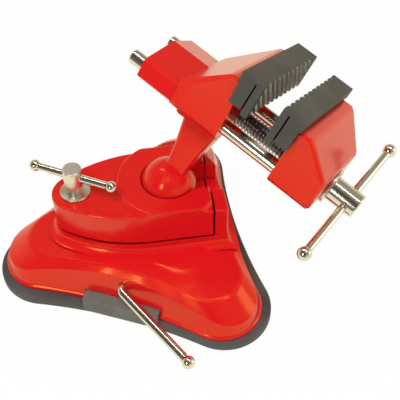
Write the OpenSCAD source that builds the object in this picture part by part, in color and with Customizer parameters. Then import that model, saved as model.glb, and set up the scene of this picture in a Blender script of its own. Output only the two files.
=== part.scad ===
// Suction base vise: a three-lobed vacuum base with a cam lever, a clamp plate that
// grips a ball joint, and a small two-rod vise head that turns and tilts on the ball.
// Millimetres, +Z up. The origin is the middle of the rubber pad, on the bench top.

/* [Vacuum base] */
// Distance from the centre of the base to the middle of each lobe
lobe_reach = 61.6; // [56:0.2:66]
// Radius of each rubber lobe
lobe_r = 26.6; // [24:0.2:30]
// Distance from the centre of the base to the centres of the hollow waist arcs
waist_reach = 350; // [260:10:500]
// Height of the rubber pad under the casting
pad_h = 6.4; // [6:0.2:9]
// Thickness of the rubber under the lift plate
pad_web = 3.6; // [3:0.2:4]
// How far the rubber stands out past the casting
pad_proud = 3.8; // [3:0.2:5]
// Width of the release tab on the front edge of the pad
tab_w = 44; // [20:1:50]
// Height of the release tab above the bench
tab_h = 12.5; // [11:0.5:14]
// Turn of the casting on its pad, seen from above
casting_turn = -2; // [-3:0.5:3]
// Wall of the base casting
base_wall = 3.6; // [3:0.2:4.5]
// Height of the lip around the foot of the casting
lip_h = 2.6; // [1.5:0.1:4]
// Height of the shoulder line above the bench, at the waist
shoulder_h = 29.2; // [28:0.2:29.4]
// Drop of the shoulder line from the waist to the end of a lobe
shoulder_drop = 13.4; // [10:0.2:14]
// Height of the deck around the foot of the turret
deck_h = 30; // [29.5:0.25:31]
// Width of the ledge around the casting's foot
ledge = 0.9; // [0.5:0.1:1.5]

/* [Suction lever] */
// Height of the lever shaft above the bench
shaft_h = 22; // [21:0.25:22.5]
// Diameter of the bent lever rod
lever_d = 5; // [4.4:0.2:5.6]
// Length of the lever arm from the bend to the ball
arm_len = 51.5; // [40:0.5:60]
// Angle between the shaft and the arm
arm_bend = 61; // [45:1:70]
// How far the arm rests below level
arm_droop = 12; // [0:1:14]
// Bend radius of the lever on its centre line
bend_r = 4; // [3.5:0.5:6]
// Diameter of the ball on the lever
lever_ball_d = 7.2; // [6.8:0.2:10]
// Diameter of the eccentric cam
cam_d = 10; // [9:0.5:10.5]
// Offset of the cam from the shaft, half of the pad's lift
cam_throw = 1.25; // [0.75:0.05:1.3]
// Diameter of the steel lift plate in the pad
lift_plate_d = 52; // [40:1:56]
// Thickness of the lift plate
lift_plate_t = 2.4; // [1.6:0.1:2.6]
// Length of the shaft past the middle of the base
shaft_tail = 15; // [13:0.5:16]
// Radius of the clip at the end of the shaft
clip_r = 4.3; // [3.8:0.1:4.6]

/* [Turret and clamp plate] */
// Heading of the clamp plate's long axis from the X axis
plate_heading = 25; // [20:1:30]
// Distance from the base centre to the clamp screw along the plate
clamp_reach = 39; // [37:0.5:41]
// Distance from the base centre to the ball along the plate
ball_reach = 12; // [10:0.1:13]
// Half width of the clamp plate
plate_half_w = 25; // [24:0.5:26]
// Radius of the rounded end of the plate around the clamp screw
plate_end_r = 13; // [12:0.5:14.5]
// Distance from the base centre to the heel of the plate
plate_heel = 33; // [32:0.2:34]
// Height of the turret top above the bench
turret_h = 35.6; // [35:0.2:36]
// Height of the plate's underside above the bench
plate_z = 37; // [36.8:0.1:37.6]
// Thickness of the clamp plate
plate_t = 20; // [18:0.5:21]
// Rise of the collar around the ball above the plate
collar_rise = 3; // [2:0.25:3.5]
// Radius of the collar
collar_r = 29; // [27.5:0.5:30]
// Width of the slot that the stem folds into
slot_w = 18.2; // [17.6:0.2:19]
// Gap between the heel of the plate and the post
heel_gap = 1; // [0.6:0.1:1.5]
// Thickness of the post behind the heel
post_t = 7.2; // [6:0.2:8]
// Radius of the cup under the ball
seat_r = 12.4; // [11.5:0.1:12.6]
// Height of the cup's rim above the plate's underside
seat_rim = 8.6; // [6:0.2:9]
// Radius of the hole through the cup
seat_hole = 4; // [2:0.5:5]

/* [Clamp screw] */
// Diameter of the clamp screw
clamp_d = 8; // [6:0.5:9]
// Diameter of the clamp screw's head
clamp_head_d = 10.4; // [10:0.2:12]
// Height of the clamp screw's head
clamp_head_h = 16.8; // [14:0.2:18]
// Diameter of the washer under the head
clamp_washer_d = 16.6; // [15:0.2:20]
// Thickness of the washer
clamp_washer_t = 1.2; // [1:0.1:2.5]
// Diameter of the clamp screw's bar
clamp_bar_d = 4.2; // [3.4:0.2:4.6]
// Distance between the middles of the balls on the clamp bar
clamp_bar_len = 45; // [36:1:50]
// Diameter of the balls on the clamp bar
clamp_ball_d = 6.4; // [5.6:0.2:8]
// Heading of the clamp bar from the X axis
clamp_bar_heading = -4.4; // [-20:0.2:20]

/* [Ball joint and lean] */
// Height of the ball's centre above the bench
ball_z = 55; // [54.6:0.1:56]
// Diameter of the ball
ball_d = 31; // [30:0.5:31.5]
// Lean of the stem from upright
stem_lean = 29; // [24:1:30]
// Heading in which the stem leans, from the X axis
lean_heading = 37.4; // [30:0.2:45]
// Turn of the jaws about the stem
head_turn = -54.3; // [-60:0.1:-48]
// Width of the stem at the body
stem_top_w = 20.5; // [18:0.5:22]
// Width of the stem at the ball
stem_low_w = 13.2; // [12:0.2:14.5]
// Depth of the stem across the jaws
stem_deep = 14.6; // [13:0.2:16]

/* [Vise body] */
// Height of the screw's axis above the ball's centre
screw_h = 59.8; // [58:0.2:62]
// Height of the fixed jaw's top above the screw's axis
jaw_rise = 36.5; // [35:0.5:38]
// Distance of the fixed gripping face in front of the stem's axis
jaw_face = 24.3; // [22:0.1:26]
// Width of the jaws
jaw_w = 70; // [66:1:76]
// Half width of the jaw castings at the top
cast_top_w = 32; // [30:0.5:32.5]
// Half width of the jaw castings at the screw
cast_low_w = 25.5; // [25:0.5:27]
// Height of the castings' top above the screw's axis
cast_top = 30.5; // [29.5:0.25:31]
// Distance of the castings' faces behind the gripping faces
cast_back = 10; // [9:0.5:11]
// Depth of the fixed jaw from its gripping face to its back
jaw_deep = 16; // [15:0.5:18]
// Length of the fixed jaw and its flare, from the gripping face
flare_deep = 38.5; // [36:0.5:40]
// Depth of the castings below the screw's axis
cast_low = 6.5; // [6:0.25:7.5]
// Depth of the belly that carries the stem, below the screw's axis
belly_low = 9.5; // [8:0.5:10]
// Half width of the rod housing
house_w = 25; // [24:0.5:26]
// Height of the housing's ridge above the screw's axis
ridge_h = 11; // [10:0.5:12]
// Height of the housing's eaves above the screw's axis
eave_h = 5.5; // [5:0.25:7]
// Distance of the housing's rear face behind the stem's axis
house_back = 36.2; // [34:0.2:40]
// Thickness of the moving jaw at its foot
moving_foot = 24.6; // [22:0.2:27]
// Thickness of the moving jaw at its top
moving_top = 8.6; // [7:0.2:10]
// Height of the break in the moving jaw's outer face above the screw's axis
break_h = 11.5; // [10:0.5:13]

/* [Jaw pads] */
// Gap between the jaws as drawn
jaw_gap = 12.4; // [4:0.2:30]
// Drop of the moving pad below the fixed pad
pad_drop = 2.4; // [0:0.1:3]
// Height of a gripping face
grip_h = 18.7; // [17:0.1:20]
// Depth of a pad from front to back
cap_deep = 12.4; // [11.6:0.2:13]
// Thickness of a pad's front plate
front_t = 3.6; // [3.2:0.1:4]
// Thickness of a pad's top plate
top_t = 5.5; // [4.5:0.25:6]
// Spacing of the gripping ridges along the top edge
tooth_pitch = 5.8; // [5:0.1:7]
// Slope of the gripping ridges from level
tooth_slope = 37; // [30:1:45]
// Depth of the grooves between the ridges
tooth_depth = 1.2; // [0.8:0.1:1.4]
// Width of the grooves between the ridges
groove_w = 1.6; // [1.2:0.1:2]
// Plain border at each end of a gripping face
ridge_border = 3.4; // [2:0.2:6]
// Width of the slit beside each clip
slit_w = 0.8; // [0.5:0.1:1.2]

/* [Rods and main screw] */
// Distance of each guide rod from the middle
rod_y = 19.4; // [18:0.2:19.6]
// Diameter of the guide rods
rod_d = 7.8; // [7:0.2:8]
// Length of the guide rods
rod_len = 113; // [110:1:120]
// Diameter of the main screw
screw_d = 10; // [9:0.25:10.5]
// Diameter of the main screw's head
head_d = 13.2; // [13:0.2:16]
// Length of the main screw's head
head_len = 16; // [14:0.5:18]
// Diameter of the thrust washer
thrust_d = 19; // [17:0.5:20.5]
// Thickness of the thrust washer
thrust_t = 1.6; // [1.2:0.1:2]
// Outside diameter of the nut in the fixed jaw
nut_d = 17; // [15:0.5:18]
// Length of the nut
nut_len = 13; // [10:0.5:15]
// Diameter of the handle bar
bar_d = 4.4; // [4:0.2:5]
// Distance between the middles of the balls on the handle bar
bar_len = 78; // [60:1:90]
// Diameter of the balls on the handle bar
bar_ball_d = 7.4; // [6.6:0.2:9]
// Turn of the handle bar about the screw
bar_turn = 30; // [0:1:60]

/* [Fits] */
// Radial clearance of a running fit
run_fit = 0.05; // [0.03:0.01:0.08]
// Clearance between pieces that only lie near each other
loose_fit = 0.3; // [0.25:0.05:0.4]

/* [Hidden] */

paint = [0.86, 0.11, 0.13];
rubber = [0.27, 0.27, 0.28];
steel = [0.75, 0.74, 0.70];
dark_steel = [0.33, 0.33, 0.31];
brass = [0.72, 0.56, 0.26];

ball_r = ball_d / 2;
lever_r = lever_d / 2;
plate_top = plate_z + plate_t;
collar_top = plate_top + collar_rise;
seat_floor = turret_h - 1;
shell_r = lobe_r - pad_proud;
post_in = plate_heel + heel_gap;
post_out = post_in + post_t;
tongue_r = 2;
tongue_z = plate_top - 3.6;
tongue_front = 21.5;
tongue_back = 16.5;
tongue_margin = 1;
tab_root = 46.6;
tab_front = 54.2;

// ---- outlines -------------------------------------------------------------

// Half angle of a lobe's arc, for lobes at the given distance from the centre
function lobe_span(reach) = atan2(waist_reach * sin(60), waist_reach * cos(60) - reach);
// Half angle of the waist arc between two lobes
function waist_span(reach) = atan2(reach * sin(60), waist_reach - reach * cos(60));
function polar(r, a) = [r * cos(a), r * sin(a)];
function waist_r(reach, r) = norm([waist_reach * cos(60) - reach, waist_reach * sin(60)]) - r;

// Closed outline of three lobes of radius r joined by tangent hollow arcs
function lobed_outline(reach, r) = [
    for (k = [0 : 2], i = [0 : lobe_steps + waist_steps - 1])
        let (lobe = polar(reach, 120 * k - 30), waist = polar(waist_reach, 120 * k + 30))
        i <= lobe_steps
            ? lobe + polar(r, 120 * k - 30 + lobe_span(reach) * (2 * i / lobe_steps - 1))
            : waist + polar(waist_r(reach, r),
                120 * k + 210 + waist_span(reach) * (1 - 2 * (i - lobe_steps) / waist_steps))
];
lobe_steps = 22;
waist_steps = 10;

// Solid through a stack of closed rings that all have the same number of points
module ring_loft(rings) {
    count = len(rings[0]);
    last = len(rings) - 1;
    polyhedron(
        points = [for (ring = rings) each ring],
        faces = concat(
            [[for (i = [0 : count - 1]) i]],
            [for (k = [0 : last - 1], i = [0 : count - 1])
                [k * count + i, (k + 1) * count + i, (k + 1) * count + (i + 1) % count]],
            [for (k = [0 : last - 1], i = [0 : count - 1])
                [k * count + i, (k + 1) * count + (i + 1) % count, k * count + (i + 1) % count]],
            [[for (i = [count - 1 : -1 : 0]) last * count + i]]
        ));
}

// A lobed ring at a height that falls evenly from the waist to the ends of the lobes
function lobed_ring(reach, r, waist_z, drop) =
    let (low = waist_reach - waist_r(reach, r), high = reach + r)
    [for (p = lobed_outline(reach, r)) [p.x, p.y, waist_z - drop * (norm(p) - low) / (high - low)]];

// Outline of the clamp plate, grown by the given amount: the heel is square in front and
// rounded about the ball at the back
function plate_outline(grow, heel) =
    let (
        half_w = plate_half_w + grow,
        end_r = plate_end_r + grow,
        back_r = post_out - ball_reach + grow,
        back_turn = asin(half_w / back_r),
        flank_r = (pow(clamp_reach, 2) + pow(half_w, 2) - pow(end_r, 2)) / (2 * (half_w - end_r)),
        flank_y = flank_r - half_w,
        turn = atan2(clamp_reach, flank_y)
    )
    concat(
        [[heel, -half_w]],
        [for (i = [0 : 12]) [min(heel, ball_reach + back_r * cos(back_turn * i / 12)),
            back_r * sin(back_turn * i / 12)]],
        [for (i = [0 : 10]) [0, -flank_y] + polar(flank_r, 90 + turn * i / 10)],
        [for (i = [1 : 15]) [-clamp_reach, 0] + polar(end_r, 90 + turn + 2 * (90 - turn) * i / 16)],
        [for (i = [10 : -1 : 0]) [0, flank_y] + polar(flank_r, 270 - turn * i / 10)]
    );

// Rib across the heel that the plate rocks on, in front and behind the slot
module heel_tongue(r, ends) {
    for (span = [[-tongue_front - ends, -slot_w / 2 - tongue_margin + ends],
                 [slot_w / 2 + tongue_margin - ends, tongue_back + ends]])
        translate([post_in - 0.2, span[1], tongue_z]) rotate([90, 0, 0])
            cylinder(h = span[1] - span[0], r = r, $fn = 48);
}

// Moves children into the frame of the clamp plate
module at_plate() {
    rotate([0, 0, plate_heading]) children();
}

// Moves children to the ball's centre, with Z along the stem and X towards the handle
module at_head() {
    at_plate() translate([ball_reach, 0, ball_z])
        rotate([0, 0, -plate_heading])
            rotate([0, stem_lean, lean_heading]) rotate([0, 0, head_turn])
                children();
}

// Cylinder along X between two places
module rod_x(r, from, to, facets = 64) {
    translate([from, 0, 0]) rotate([0, 90, 0]) cylinder(h = to - from, r = r, $fn = facets);
}

// Rectangle with rounded corners, centred
module round_rect(w, d, r) {
    square([w - 2 * r, d], center = true);
    square([w, d - 2 * r], center = true);
    for (x = [-1, 1], y = [-1, 1])
        translate([x * (w / 2 - r), y * (d / 2 - r)]) circle(r = r, $fn = 32);
}

// Turned bar with a ball at each end, along X
module bar_balls(length, ball) {
    for (side = [-1, 1])
        translate([side * length / 2, 0, 0]) sphere(d = ball, $fn = 48);
}

// ---- vacuum base ----------------------------------------------------------

// Outer skin of the casting: lip, drafted skirt, shoulder and sloping deck
module base_skin() {
    lip_top = pad_h + lip_h;
    ring_loft([
        lobed_ring(lobe_reach, shell_r, pad_h, 0),
        lobed_ring(lobe_reach, shell_r, lip_top - 0.8, 0),
        lobed_ring(lobe_reach, shell_r - ledge, lip_top, 0),
        lobed_ring(lobe_reach + 2.6, shell_r - 4.3, shoulder_h - 3.2, shoulder_drop - 1),
        lobed_ring(lobe_reach + 3.2, shell_r - 5.5, shoulder_h - 1.2, shoulder_drop - 0.4),
        lobed_ring(lobe_reach + 3.4, shell_r - 7.2, shoulder_h, shoulder_drop),
        lobed_ring(lobe_reach - 10.4, shell_r - 5.1, deck_h - 0.5, 4),
        lobed_ring(lobe_reach - 12.4, shell_r - 5.8, deck_h - 0.3, 3.4),
        lobed_ring(lobe_reach * 0.51, shell_r - 6.6, deck_h - 0.05, 1.5),
        lobed_ring(lobe_reach * 0.32, shell_r - 3, deck_h, 0)
    ]);
}

// Hollow under the casting
module base_hollow() {
    inner = shell_r - base_wall;
    ring_loft([
        lobed_ring(lobe_reach, inner, pad_h - 1, 0),
        lobed_ring(lobe_reach, inner, pad_h + lip_h, 0),
        lobed_ring(lobe_reach, inner - 6.4, deck_h - base_wall - 5, shoulder_drop - 4),
        lobed_ring(lobe_reach - 14, inner - 6, deck_h - base_wall - 0.6, 4.5),
        lobed_ring(lobe_reach * 0.35, inner, deck_h - base_wall, 0)
    ]);
}

// Turret under the clamp plate, with a hollow blend down to the deck
module turret_body() {
    steps = 5;
    blend = 5;
    ring_loft(concat(
        [[for (p = plate_outline(blend - 1, post_out + blend - 1)) [p.x, p.y, deck_h - blend]]],
        [for (i = [0 : steps])
            let (a = 90 * i / steps, grow = -1 + blend * (1 - sin(a)), z = deck_h - 1 + 4.6 * (1 - cos(a)))
            [for (p = plate_outline(grow, post_out + blend * (1 - sin(a)))) [p.x, p.y, z]]],
        [[for (p = plate_outline(-1, post_out)) [p.x, p.y, turret_h]]]
    ));
}

// Post behind the heel, square in front and rounded at the back
module heel_post() {
    translate([0, 0, turret_h - 2]) linear_extrude(height = plate_top - turret_h + 2)
        intersection() {
            polygon(plate_outline(0, post_out));
            translate([post_in, -2 * plate_half_w]) square([post_t, 4 * plate_half_w]);
        }
}

module base_casting() color(paint) {
    difference() {
        union() {
            difference() {
                union() {
                    rotate([0, 0, casting_turn]) base_skin();
                    at_plate() turret_body();
                }
                rotate([0, 0, casting_turn]) base_hollow();
            }
            at_plate() heel_post();
            // column that the clamp screw runs into
            at_plate() translate([-clamp_reach, 0, pad_h + 4])
                cylinder(h = turret_h - pad_h - 5, r = clamp_d / 2 + 4, $fn = 48);
            // bearings of the lever shaft: behind the front wall and past the cam
            translate([0, 0, shaft_h]) rotate([90, 0, 0]) {
                translate([0, 0, 30]) cylinder(h = 15, r = lever_r + 3, $fn = 48);
                translate([0, 0, -shaft_tail + 2 + loose_fit]) cylinder(h = 6, r = lever_r + 3, $fn = 48);
            }
            translate([-lever_r - 3, shaft_tail - 8 - loose_fit, shaft_h])
                cube([lever_d + 6, 6, deck_h - base_wall - shaft_h + 1]);
        }
        // notch for the release tab
        translate([-tab_w / 2 - loose_fit, -lobe_reach - lobe_r, 0])
            cube([tab_w + 2 * loose_fit, lobe_reach + lobe_r - tab_root + 4, tab_h + loose_fit]);
        // bore of the lever shaft
        translate([0, shaft_tail + 1, shaft_h]) rotate([90, 0, 0])
            cylinder(h = shaft_tail + lobe_reach, r = lever_r + run_fit, $fn = 64);
        // room for the cam and the yoke
        translate([-12, -6.5, pad_h + 4])
            cube([24, 13, deck_h - pad_h - 1.6]);
        // room for the clip
        translate([0, shaft_tail + 1, shaft_h]) rotate([90, 0, 0])
            cylinder(h = 3, r = clip_r + loose_fit, $fn = 48);
        // seat for the ball, open to the top
        at_plate() translate([ball_reach, 0, seat_floor])
            cylinder(h = 10, r = seat_r + loose_fit, $fn = 96);
        // fold slot through the post
        at_plate() translate([ball_reach, -slot_w / 2, ball_z - slot_w / 2])
            cube([post_out - ball_reach + 1, slot_w, collar_top]);
        at_plate() heel_tongue(tongue_r + run_fit, loose_fit);
        // bore of the clamp screw
        at_plate() translate([-clamp_reach, 0, pad_h])
            cylinder(h = turret_h, r = clamp_d / 2 + run_fit, $fn = 64);
    }
}

// Rubber pad: flat sole, eased rim and a raised release tab in front
module suction_pad() color(rubber) {
    pocket_r = shell_r - base_wall - 1;
    ease = [[0, 0.9, 1.9], [0.5, 0.4, 0.8], [1.3, 0, 0]];
    difference() {
        union() {
            // each layer stands in from the rim, and reaches lower and higher than the last
            for (layer = ease)
                translate([0, 0, layer[1]]) linear_extrude(height = pad_h - layer[1] - layer[2])
                    polygon(lobed_outline(lobe_reach, lobe_r - layer[0]));
            // tab that is pulled to let air in
            translate([-tab_w / 2, -tab_front, 1.5]) cube([tab_w, tab_front - tab_root, tab_h - 1.5]);
        }
        translate([0, 0, pad_web]) linear_extrude(height = pad_h)
            polygon(lobed_outline(lobe_reach, pocket_r));
    }
}

// Steel disc laid in the rubber, which the cam lifts to draw the vacuum
module lift_plate() color(steel) {
    difference() {
        translate([0, 0, pad_web]) cylinder(h = lift_plate_t, d = lift_plate_d, $fn = 96);
        for (a = [45 : 90 : 359])
            rotate([0, 0, a]) translate([lift_plate_d * 0.34, 0, 0])
                cylinder(h = pad_h + 2, r = 3, $fn = 32);
    }
}

// Stirrup around the cam, standing on the lift plate
module lift_yoke() color(dark_steel) {
    foot_z = pad_web + lift_plate_t;
    window = cam_d + 0.8;
    window_z = shaft_h - cam_throw - window / 2;
    side_t = 2.8;
    half_w = cam_d / 2 + cam_throw + 0.6 + side_t;
    difference() {
        translate([-half_w, -3, foot_z]) cube([2 * half_w, 6, window_z + window + 2.6 - foot_z]);
        translate([-half_w + side_t, -4, window_z]) cube([2 * (half_w - side_t), 8, window]);
    }
    translate([0, 0, foot_z]) cylinder(h = 2, r = half_w + 1.5, $fn = 64);
}

// ---- suction lever --------------------------------------------------------

// Moves children to the start of the bend, with X along the shaft and Y along the droop
module at_lever() {
    translate([0, 0, shaft_h]) rotate([0, arm_droop, 0]) rotate([0, 0, -90]) children();
}
bend_start = 46.6;

// Moves children to the end of the bend, with X along the arm
module at_arm() {
    translate([bend_start, bend_r, 0]) rotate([0, 0, arm_bend]) translate([0, -bend_r, 0]) children();
}

module lever_rod() color(steel) {
    at_lever() {
        difference() {
            rod_x(lever_r, -shaft_tail, bend_start, 48);
            // seat of the clip
            rotate([0, 90, 0]) translate([0, 0, -shaft_tail + 1]) difference() {
                cylinder(h = 1, r = lever_d, $fn = 48);
                translate([0, 0, -1]) cylinder(h = 3, r = lever_r - 0.6, $fn = 48);
            }
            // hole of the cam pin
            translate([0, 0, -lever_d]) cylinder(h = 2 * lever_d, r = 1, $fn = 32);
        }
        translate([bend_start, bend_r, 0]) rotate([0, 0, -90])
            rotate_extrude(angle = arm_bend, $fn = 96) translate([bend_r, 0]) circle(r = lever_r, $fn = 48);
        at_arm() {
            sphere(r = lever_r + 0.02, $fn = 48);
            rod_x(lever_r, 0, arm_len - lever_ball_d * 0.42, 48);
        }
    }
}

module lever_ball() color(steel) {
    at_lever() at_arm() translate([arm_len, 0, 0]) difference() {
        sphere(d = lever_ball_d, $fn = 64);
        rod_x(lever_r, -lever_ball_d, -lever_ball_d * 0.42);
    }
}

// Eccentric disc pinned to the shaft, low side down with the lever at rest
module eccentric_cam() color(dark_steel) {
    translate([0, 3.5, shaft_h]) rotate([90, 0, 0]) difference() {
        translate([0, -cam_throw, 0]) cylinder(h = 7, d = cam_d, $fn = 64);
        translate([0, 0, -1]) cylinder(h = 9, r = lever_r + run_fit, $fn = 64);
        translate([0, 0, 3.5]) rotate([0, 0, -arm_droop]) rotate([90, 0, 0])
            translate([0, 0, -cam_d]) cylinder(h = 2 * cam_d, r = 1, $fn = 32);
    }
}

// Roll pin through the cam and the shaft
module cam_pin() color(steel) {
    translate([0, 0, shaft_h]) rotate([0, arm_droop, 0])
        translate([0, 0, -cam_d / 2 - cam_throw + 0.8]) difference() {
            cylinder(h = cam_d - 1.6, r = 1, $fn = 32);
            translate([0, 0, -1]) cylinder(h = cam_d, r = 0.5, $fn = 24);
        }
}

// Spring clip in the groove at the end of the shaft
module shaft_clip() color(dark_steel) {
    at_lever() rotate([0, 90, 0]) translate([0, 0, -shaft_tail + 1.1]) difference() {
        cylinder(h = 0.8, r = clip_r, $fn = 48);
        translate([0, 0, -1]) cylinder(h = 3, r = lever_r - 0.6 + run_fit, $fn = 48);
        translate([0, -lever_r + 0.8, -1]) cube([lever_d, lever_d - 1.6, 3]);
    }
}

// ---- turret and clamp -----------------------------------------------------

// Cup under the ball, free to turn in its seat
module ball_seat() color(dark_steel) {
    at_plate() translate([ball_reach, 0, 0]) rotate_extrude($fn = 96) difference() {
        polygon([
            [seat_hole, seat_floor], [seat_r, seat_floor],
            [seat_r, plate_z + seat_rim], [seat_hole, plate_z + seat_rim]
        ]);
        translate([0, ball_z]) circle(r = ball_r + 2 * run_fit, $fn = 192);
    }
}

// Slotted plate with a raised collar that closes over the ball
module clamp_plate() color(paint) {
    rim_chamfer = 0.7;
    at_plate() difference() {
        union() {
            translate([0, 0, plate_z]) linear_extrude(height = plate_t)
                polygon(plate_outline(0, plate_heel));
            // collar, trimmed to the plate's sides
            intersection() {
                translate([ball_reach, 0, plate_top - 1]) rotate_extrude($fn = 96) polygon([
                    [0, 0], [collar_r + 1, 0], [collar_r - 0.5, collar_rise + 0.4],
                    [collar_r - 1.2, collar_rise + 1], [0, collar_rise + 1]
                ]);
                translate([0, 0, plate_z]) linear_extrude(height = plate_t + collar_rise + 1)
                    polygon(plate_outline(0, plate_heel));
            }
            heel_tongue(tongue_r, 0);
            for (side = [-1, 1])
                translate([plate_heel - 1, side > 0 ? slot_w / 2 + tongue_margin : -tongue_front,
                    tongue_z - tongue_r * 0.8])
                    cube([1.6, (side > 0 ? tongue_back : tongue_front) - slot_w / 2 - tongue_margin,
                        tongue_r * 1.6]);
        }
        // bore around the lower half of the ball
        translate([ball_reach, 0, plate_z - 1])
            cylinder(h = ball_z - plate_z + 1, r = ball_r + 0.9, $fn = 96);
        // spherical grip above the ball's middle
        translate([ball_reach, 0, ball_z]) sphere(r = ball_r + 0.12, $fn = 128);
        translate([ball_reach, 0, ball_z + 0.5])
            cylinder(h = 1, r = ball_r + 0.1, $fn = 96);
        translate([ball_reach, 0, collar_top - rim_chamfer])
            cylinder(h = 2, r1 = ball_r - 0.6, r2 = ball_r + 1.6, $fn = 96);
        // fold slot
        translate([ball_reach, -slot_w / 2, ball_z - slot_w / 2])
            cube([plate_heel, slot_w, collar_top]);
        // clearance hole of the clamp screw
        translate([-clamp_reach, 0, plate_z - 1])
            cylinder(h = plate_t + 2, r = clamp_d / 2 + 1.4, $fn = 64);
    }
}

module at_clamp() {
    at_plate() translate([-clamp_reach, 0, plate_top]) rotate([0, 0, clamp_bar_heading - plate_heading])
        children();
}
clamp_bar_z = clamp_washer_t + clamp_head_h - 5.6;

module clamp_washer() color(steel) {
    at_clamp() difference() {
        cylinder(h = clamp_washer_t, d = clamp_washer_d, $fn = 96);
        translate([0, 0, -1]) cylinder(h = 4, r = clamp_d / 2 + 0.25, $fn = 64);
    }
}

// Screw with a turned head that necks in above the washer
module clamp_screw() color(steel) {
    neck_h = 6;
    at_clamp() difference() {
        union() {
            translate([0, 0, pad_h + 8 - plate_top])
                cylinder(h = plate_top - pad_h - 8 + clamp_washer_t + 1, d = clamp_d, $fn = 64);
            translate([0, 0, clamp_washer_t]) rotate_extrude($fn = 96) polygon([
                [0, 0], [clamp_d / 2 + 0.5, 0], [clamp_d / 2 + 0.5, 1.4],
                [clamp_head_d / 2, neck_h], [clamp_head_d / 2, clamp_head_h - 0.6],
                [clamp_head_d / 2 - 0.6, clamp_head_h], [0, clamp_head_h]
            ]);
        }
        translate([0, 0, clamp_bar_z]) rod_x(clamp_bar_d / 2 + run_fit, -20, 20);
    }
}

module clamp_bar() color(steel) {
    reach = clamp_bar_len / 2 - clamp_ball_d * 0.42;
    at_clamp() translate([0, 0, clamp_bar_z]) rod_x(clamp_bar_d / 2, -reach, reach);
}

module clamp_bar_ends() color(steel) {
    reach = clamp_bar_len / 2 - clamp_ball_d * 0.42;
    at_clamp() translate([0, 0, clamp_bar_z]) difference() {
        bar_balls(clamp_bar_len, clamp_ball_d);
        rod_x(clamp_bar_d / 2, -reach, reach);
    }
}

// ---- vise head ------------------------------------------------------------

cast_face = jaw_face - cast_back;
flare_back = jaw_face - flare_deep;
jaw_back = jaw_face - jaw_deep;
moving_face = jaw_face + jaw_gap;
moving_cast = moving_face + cast_back;
outer_face = moving_cast + moving_foot;
grip_low = jaw_rise - grip_h;
nose_r = 1.2;

// Cross-section of the jaw castings, seen along the screw
module jaw_section(top) {
    waist = cast_low_w + 1.5;
    polygon([
        [-cast_top_w + 1.5, top], [cast_top_w - 1.5, top], [cast_top_w, top - 1.5],
        [waist, break_h], [cast_low_w, -cast_low + 2.5], [cast_low_w - 2.5, -cast_low],
        [-cast_low_w + 2.5, -cast_low], [-cast_low_w, -cast_low + 2.5],
        [-waist, break_h], [-cast_top_w, top - 1.5]
    ]);
}

// Cross-section of the rod housing: shallow roof, upright sides, drawn-in foot
module house_section() {
    polygon([
        [0, ridge_h], [-house_w + 1.2, eave_h + 0.4], [-house_w, eave_h - 0.8],
        [-house_w, -4.3], [-house_w + 5, -cast_low - 1], [house_w - 5, -cast_low - 1],
        [house_w, -4.3], [house_w, eave_h - 0.8], [house_w - 1.2, eave_h + 0.4]
    ]);
}

// Extrudes a section drawn in Y and Z along X
module along_x(from, to) {
    translate([from, 0, 0]) rotate([90, 0, 90]) linear_extrude(height = to - from) children();
}

// Extrudes a profile drawn in X and Z across the jaws
module across_jaw(width) {
    translate([0, width / 2, 0]) rotate([90, 0, 0]) linear_extrude(height = width) children();
}

// Fixed jaw with its flare down to the housing
module fixed_flare() {
    intersection() {
        along_x(flare_back - 1, jaw_face) jaw_section(cast_top);
        across_jaw(2 * cast_top_w + 2) polygon([
            [flare_back - 1, -cast_low], [flare_back - 1, ridge_h - 2], [flare_back, ridge_h - 1],
            [jaw_back - 2, cast_top - 1], [jaw_back, cast_top], [cast_face, cast_top],
            [cast_face, -cast_low]
        ]);
        translate([0, 0, -jaw_w]) linear_extrude(height = 2 * jaw_w) polygon([
            [flare_back - 1, -house_w + 0.3], [flare_back - 1, house_w - 0.3],
            [jaw_back, cast_top_w], [jaw_face, cast_top_w],
            [jaw_face, -cast_top_w], [jaw_back, -cast_top_w]
        ]);
    }
}

// Lip at the top of a jaw casting that a pad caps
module jaw_nose(face, back, low, top) {
    half = jaw_w / 2 - 3.4;
    translate([0, 0, low]) linear_extrude(height = top - low)
        polygon([[back, -half], [face, -half], [face, half], [back, half]]);
}

// Tapered stem between the belly and the ball
module stem() {
    low = 11;
    top = screw_h - belly_low;
    corner = 3;
    function ring(w, d, z) = [
        for (q = [0 : 3], i = [0 : 3])
            let (sx = [1, -1, -1, 1][q], sy = [1, 1, -1, -1][q])
            concat([sx * (w / 2 - corner), sy * (d / 2 - corner)]
                + polar(corner, 90 * q + 30 * i), [z])
    ];
    ring_loft([
        ring(stem_low_w, stem_deep - 2.6, low),
        ring(stem_low_w + 0.6, stem_deep - 2.2, low + 8),
        ring(stem_low_w + 2.6, stem_deep - 1.4, low + 17),
        ring(stem_top_w, stem_deep, top - 8.5),
        ring(stem_top_w + 3, stem_deep + 1, top + 1)
    ]);
}

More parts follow.
